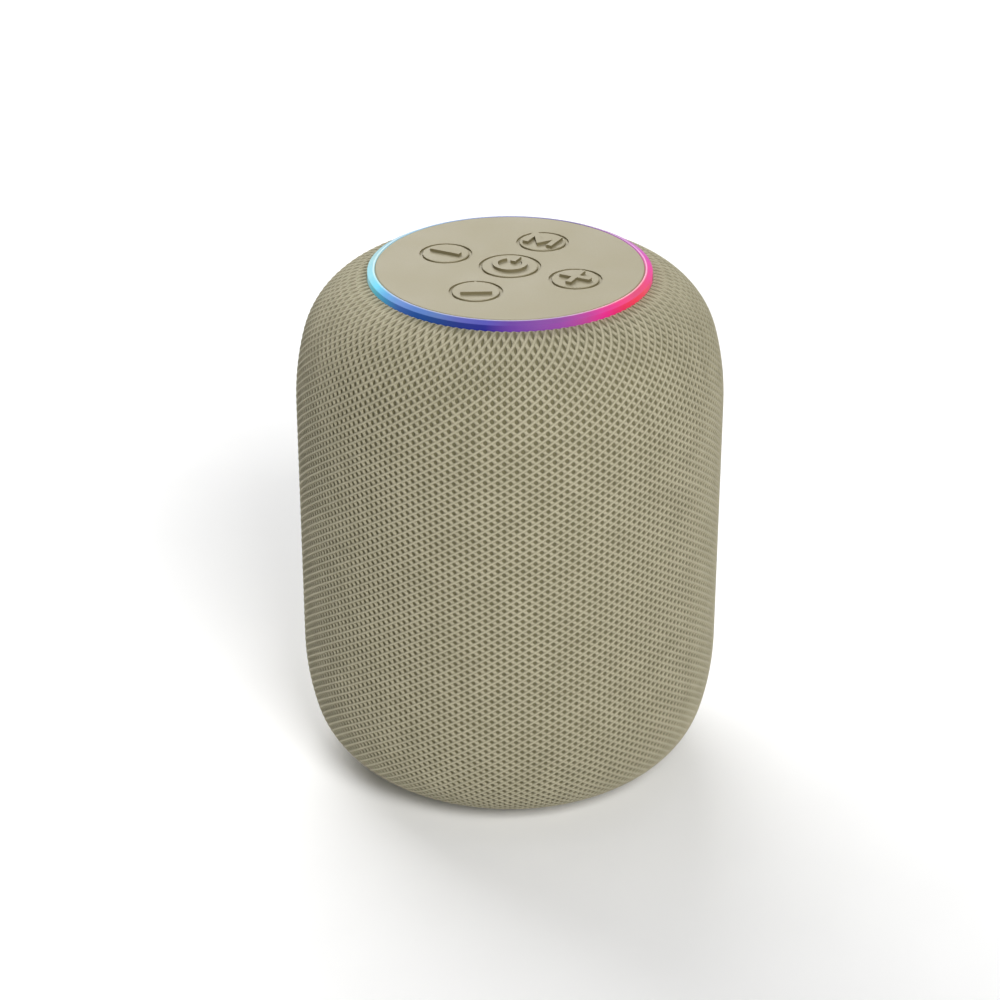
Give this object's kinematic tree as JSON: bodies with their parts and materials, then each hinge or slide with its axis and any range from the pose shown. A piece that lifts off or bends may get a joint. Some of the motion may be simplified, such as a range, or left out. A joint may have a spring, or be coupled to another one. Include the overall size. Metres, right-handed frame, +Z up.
{
  "type": "smart speaker",
  "caption": "Portable barrel-shaped speaker in a knitted mesh sleeve, with a colour-lit ring round a flat top plate of sprung keys.",
  "frame": {"origin": "on the floor, at the middle of the foot", "axes": "+Z up along the axis of the barrel, +Y towards the ports at the back"},
  "size_m": [0.1, 0.1, 0.1268],
  "materials": {
    "knit": "knitted net of thick yarn",
    "plate": "fine moulded texture",
    "key": "fine moulded texture",
    "ring": "diffusing, lit from below",
    "cage": "moulded",
    "chassis": "moulded",
    "foot": "matte",
    "cover": "moulded",
    "steel": "plated",
    "board": "solder mask",
    "chip": "moulded",
    "led": "lit",
    "basket": "stoved",
    "ferrite": "sintered",
    "cone": "paper",
    "roll": "soft",
    "copper": "enamelled wire",
    "cell": "film-wrapped",
    "lead": "insulated",
    "panel": "moulded",
    "film": "flexible film"
  },
  "bodies": {
    "body": {"aux_socket": "panel", "base_cover": "cover", "base_screws": "steel", "battery_cells": "cell", "battery_clips": "chassis", "battery_leads": "lead", "board_brackets": "steel", "board_parts": "chip", "card_socket": "steel", "chassis_screws": "steel", "deflector": "chassis", "driver_basket": "basket", "driver_gasket": "roll", "driver_magnet": "ferrite", "driver_screws": "steel", "driver_spider": "roll", "driver_surround": "roll", "driver_washer": "steel", "driver_yoke": "steel", "enclosure_gaskets": "roll", "enclosure_tube": "chassis", "fabric_sleeve": "knit", "foot_ring": "foot", "key_board": "board", "key_board_screws": "steel", "key_ribbon": "film", "led_board": "board", "leds": "led", "light_ring": "ring", "lower_baffle": "chassis", "lower_screws": "steel", "main_board": "board", "microphones": "chip", "plate_screws": "steel", "port_panel": "panel", "radiator_frame": "chassis", "radiator_surround": "roll", "shell_lower": "cage", "shell_upper": "cage", "tact_switches": "chip", "tie_posts": "steel", "top_chassis": "chassis", "top_plate": "plate", "upper_baffle": "chassis", "upper_screws": "steel", "usb_socket": "steel"},
    "power_key": {"power_button": "key", "power_plunger": "chip"},
    "plus_key": {"plus_button": "key", "plus_plunger": "chip"},
    "mode_key": {"mode_button": "key", "mode_plunger": "chip"},
    "minus_key": {"minus_button": "key", "minus_plunger": "chip"},
    "play_key": {"play_button": "key", "play_plunger": "chip"},
    "cone": {"driver_cone": "cone", "dust_cap": "cone", "voice_coil": "copper"},
    "radiator": {"radiator_diaphragm": "cone"}
  },
  "joints": [
    {"name": "power_press", "type": "slide", "parent": "body", "child": "power_key", "axis": [0, 0, -1], "range_m": [0, 0.0004], "stiffness_N_per_m": 800, "springref_m": -0.0004},
    {"name": "plus_press", "type": "slide", "parent": "body", "child": "plus_key", "axis": [0, 0, -1], "range_m": [0, 0.0004], "stiffness_N_per_m": 800, "springref_m": -0.0004},
    {"name": "mode_press", "type": "slide", "parent": "body", "child": "mode_key", "axis": [0, 0, -1], "range_m": [0, 0.0004], "stiffness_N_per_m": 800, "springref_m": -0.0004},
    {"name": "minus_press", "type": "slide", "parent": "body", "child": "minus_key", "axis": [0, 0, -1], "range_m": [0, 0.0004], "stiffness_N_per_m": 800, "springref_m": -0.0004},
    {"name": "play_press", "type": "slide", "parent": "body", "child": "play_key", "axis": [0, 0, -1], "range_m": [0, 0.0004], "stiffness_N_per_m": 800, "springref_m": -0.0004},
    {"name": "cone_travel", "type": "slide", "parent": "body", "child": "cone", "axis": [0, 0, -1], "range_m": [-0.0015, 0.0015], "stiffness_N_per_m": 1500},
    {"name": "radiator_travel", "type": "slide", "parent": "body", "child": "radiator", "axis": [0, 0, 1], "range_m": [-0.002, 0.002], "stiffness_N_per_m": 900}
  ]
}
